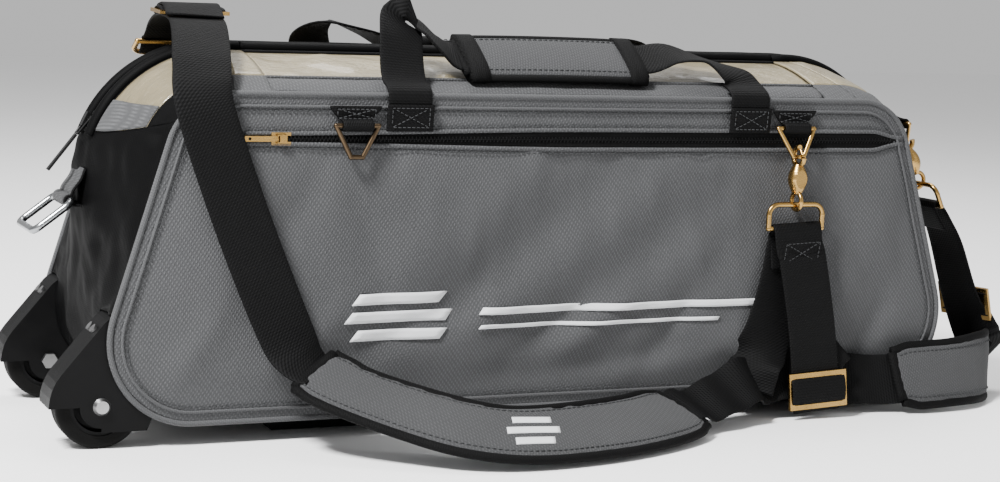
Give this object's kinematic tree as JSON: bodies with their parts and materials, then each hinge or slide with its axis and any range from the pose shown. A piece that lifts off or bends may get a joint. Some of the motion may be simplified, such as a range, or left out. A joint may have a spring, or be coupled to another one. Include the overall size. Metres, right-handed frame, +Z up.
{
  "type": "rolling bowling bag",
  "caption": "Long soft three-ball bowling bag on two end wheels, with a two-lid zipped top, clear windows, padded carry handles, a front zip pocket and a padded shoulder harness.",
  "frame": {"origin": "middle of the centre runner's lower face, on the floor under the bag's middle", "axes": "+X along the bag away from the wheels, -Y towards the front pocket, +Z up"},
  "size_m": [0.9087, 0.4155, 0.3551],
  "materials": {
    "twill_grey": "heavy diagonal twill, matt with a slight sheen",
    "nylon_black": "coarse ballistic nylon",
    "piping_grey": "covered welt cord",
    "webbing_black": "woven webbing",
    "foam": "lined foam",
    "board": "stiff sheet",
    "plastic_black": "moulded, fine grain",
    "zip_black": "coil zip",
    "steel": "zinc plated",
    "brass": "polished",
    "bronze": "darkened",
    "chrome": "polished nickel",
    "tyre_rubber": "moulded, matt",
    "window_clear": "clear vinyl over a cream lining"
  },
  "bodies": {
    "bag": {"base_board": "board", "base_panel": "nylon_black", "ball_seat_foam": "foam", "front_wall": "nylon_black", "front_pocket_panel": "twill_grey", "front_top_band": "twill_grey", "back_wall": "twill_grey", "left_end_panel": "nylon_black", "right_end_panel": "nylon_black", "left_top_cap": "twill_grey", "right_top_cap": "twill_grey", "seam_strips": "twill_grey", "piping": "piping_grey", "ball_dividers": "foam", "base_runners": "plastic_black", "wheel_housing_front": "plastic_black", "wheel_housing_rear": "plastic_black", "housing_screws": "steel", "axle_bolts": "steel", "pocket_zip_tape": "zip_black", "handle_bases": "webbing_black", "ring_tabs": "webbing_black", "end_tab": "twill_grey", "held_rings": "brass", "snap_hooks": "brass", "strap_loops": "brass", "strap_adjusters": "brass", "strap_left": "webbing_black", "strap_middle": "webbing_black", "strap_right": "webbing_black", "strap_drop": "webbing_black", "shoulder_pad_long": "twill_grey", "shoulder_pad_short": "twill_grey"},
    "wheel_front": {"tyre_front": "tyre_rubber", "hub_front": "plastic_black", "bearing_front": "steel"},
    "wheel_rear": {"tyre_rear": "tyre_rubber", "hub_rear": "plastic_black", "bearing_rear": "steel"},
    "lid_front": {"lid_band_front": "twill_grey", "window_front": "window_clear", "lid_zip_tape_front": "zip_black", "handle_front": "webbing_black", "grip_front": "twill_grey"},
    "lid_rear": {"lid_band_rear": "twill_grey", "window_rear": "window_clear", "lid_zip_tape_rear": "zip_black", "handle_rear": "webbing_black", "grip_rear": "twill_grey"},
    "pocket_slider": {"pocket_zip_slider": "brass"},
    "pocket_pull": {"pocket_zip_pull": "brass"},
    "main_slider_left": {"main_zip_slider_left": "zip_black"},
    "main_pull_left": {"main_zip_pull_left": "zip_black"},
    "main_slider_right": {"main_zip_slider_right": "zip_black"},
    "main_pull_right": {"main_zip_pull_right": "zip_black"},
    "free_ring": {"free_ring": "bronze"},
    "end_ring": {"end_grab_ring": "chrome"},
    "drop_gate": {"hook_gate_drop": "brass"}
  },
  "joints": [
    {"name": "wheel_front_spin", "type": "hinge", "parent": "bag", "child": "wheel_front", "pos_m": [-0.389, -0.1, 0.0345], "axis": [0, 1, 0], "continuous": true},
    {"name": "wheel_rear_spin", "type": "hinge", "parent": "bag", "child": "wheel_rear", "pos_m": [-0.389, 0.1, 0.0345], "axis": [0, 1, 0], "continuous": true},
    {"name": "lid_front_open", "type": "hinge", "parent": "bag", "child": "lid_front", "pos_m": [0, -0.1105, 0.27977], "axis": [1, 0, 0], "range_deg": [0, 55]},
    {"name": "lid_rear_open", "type": "hinge", "parent": "bag", "child": "lid_rear", "pos_m": [0, 0.1105, 0.27977], "axis": [1, 0, 0], "range_deg": [-55, 0]},
    {"name": "pocket_zip_slide", "type": "slide", "parent": "bag", "child": "pocket_slider", "axis": [1, 0, 0], "range_m": [0, 0.538]},
    {"name": "pocket_pull_lift", "type": "hinge", "parent": "pocket_slider", "child": "pocket_pull", "pos_m": [-0.2538, -0.1237, 0.243], "axis": [0, 0, 1], "range_deg": [0, 70]},
    {"name": "main_zip_left", "type": "hinge", "parent": "bag", "child": "main_slider_left", "pos_m": [-0.272, 0, 0.197], "axis": [0, 1, 0], "range_deg": [0, 40]},
    {"name": "main_pull_left_lift", "type": "hinge", "parent": "main_slider_left", "child": "main_pull_left", "pos_m": [-0.37662, 0, 0.24803], "axis": [0, 1, 0], "range_deg": [0, 30]},
    {"name": "main_zip_right", "type": "hinge", "parent": "bag", "child": "main_slider_right", "pos_m": [0.272, 0, 0.197], "axis": [0, 1, 0], "range_deg": [-40, 0]},
    {"name": "main_pull_right_lift", "type": "hinge", "parent": "main_slider_right", "child": "main_pull_right", "pos_m": [0.37662, 0, 0.24803], "axis": [0, 1, 0], "range_deg": [-30, 0]},
    {"name": "free_ring_swing", "type": "hinge", "parent": "bag", "child": "free_ring", "pos_m": [-0.19, -0.129, 0.254], "axis": [1, 0, 0], "range_deg": [-90, 0]},
    {"name": "end_ring_swing", "type": "hinge", "parent": "bag", "child": "end_ring", "pos_m": [-0.395, 0, 0.184], "axis": [0, 1, 0], "range_deg": [-50, 60]},
    {"name": "drop_gate_press", "type": "hinge", "parent": "bag", "child": "drop_gate", "pos_m": [0.217, -0.14194, 0.23106], "axis": [1, 0, 0], "range_deg": [-20, 0], "stiffness_Nm_per_rad": 0.002, "springref_deg": 5.73}
  ],
  "couplings": [
    {"joint": "lid_rear_open", "follows": "lid_front_open", "ratio": -1}
  ]
}
